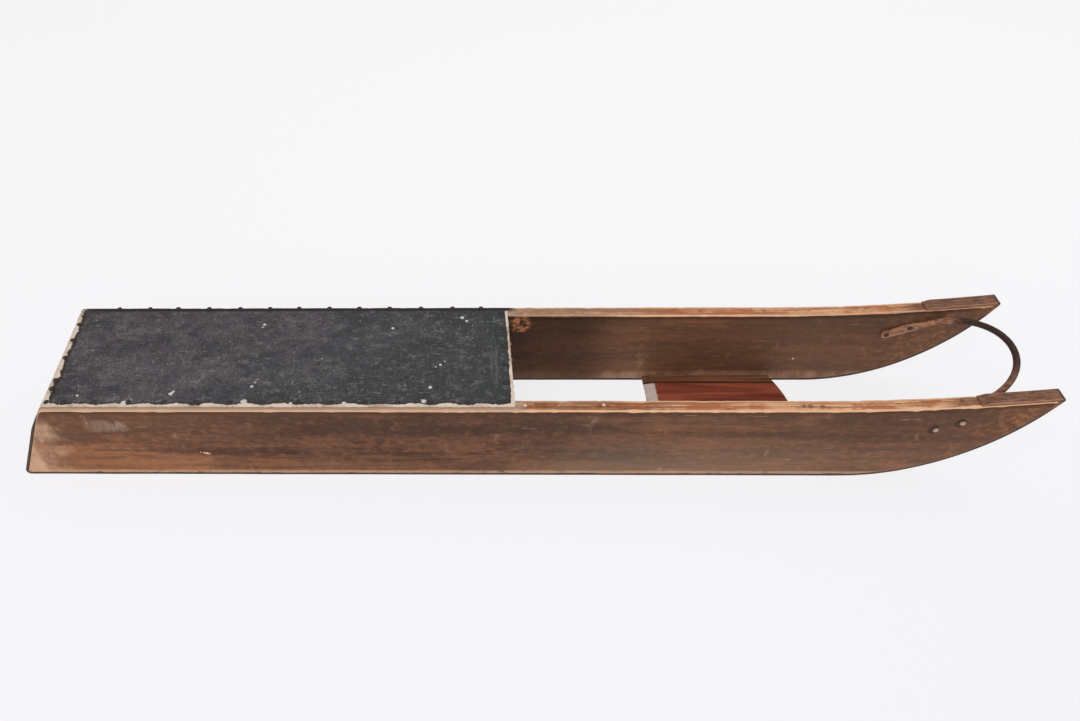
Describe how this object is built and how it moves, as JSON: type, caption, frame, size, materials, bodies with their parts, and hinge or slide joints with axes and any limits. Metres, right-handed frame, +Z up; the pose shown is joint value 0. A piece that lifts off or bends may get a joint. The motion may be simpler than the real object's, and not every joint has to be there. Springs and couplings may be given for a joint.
{
  "type": "wooden racing sled",
  "caption": "Long low wooden coasting sled: plank runners with wrapped iron shoes, a cloth-covered seat board, a low spreader and an iron bow between the prows.",
  "frame": {"origin": "middle of the footprint, on the floor under the runners", "axes": "+X forward to the raised tips, +Y to the rider's left, +Z up"},
  "size_m": [1.524, 0.235, 0.172],
  "materials": {
    "runner_wood": "worn dark varnish",
    "pale_wood": "bare aged softwood",
    "red_wood": "red-brown varnish",
    "shoe_iron": "dark rusted wrought iron strap",
    "bow_iron": "rusted wrought iron",
    "seat_cloth": "blue-black painted cloth, cracked and flecked"
  },
  "bodies": {
    "root": {"runner_right": "runner_wood", "runner_left": "runner_wood", "shoe_right": "shoe_iron", "shoe_left": "shoe_iron", "bearer_rear": "pale_wood", "bearer_middle": "pale_wood", "bearer_front": "pale_wood", "seat_board": "pale_wood", "seat_cover": "seat_cloth", "spreader": "red_wood", "bow": "bow_iron", "bow_rivets_right": "bow_iron", "bow_rivets_left": "bow_iron"}
  },
  "joints": []
}
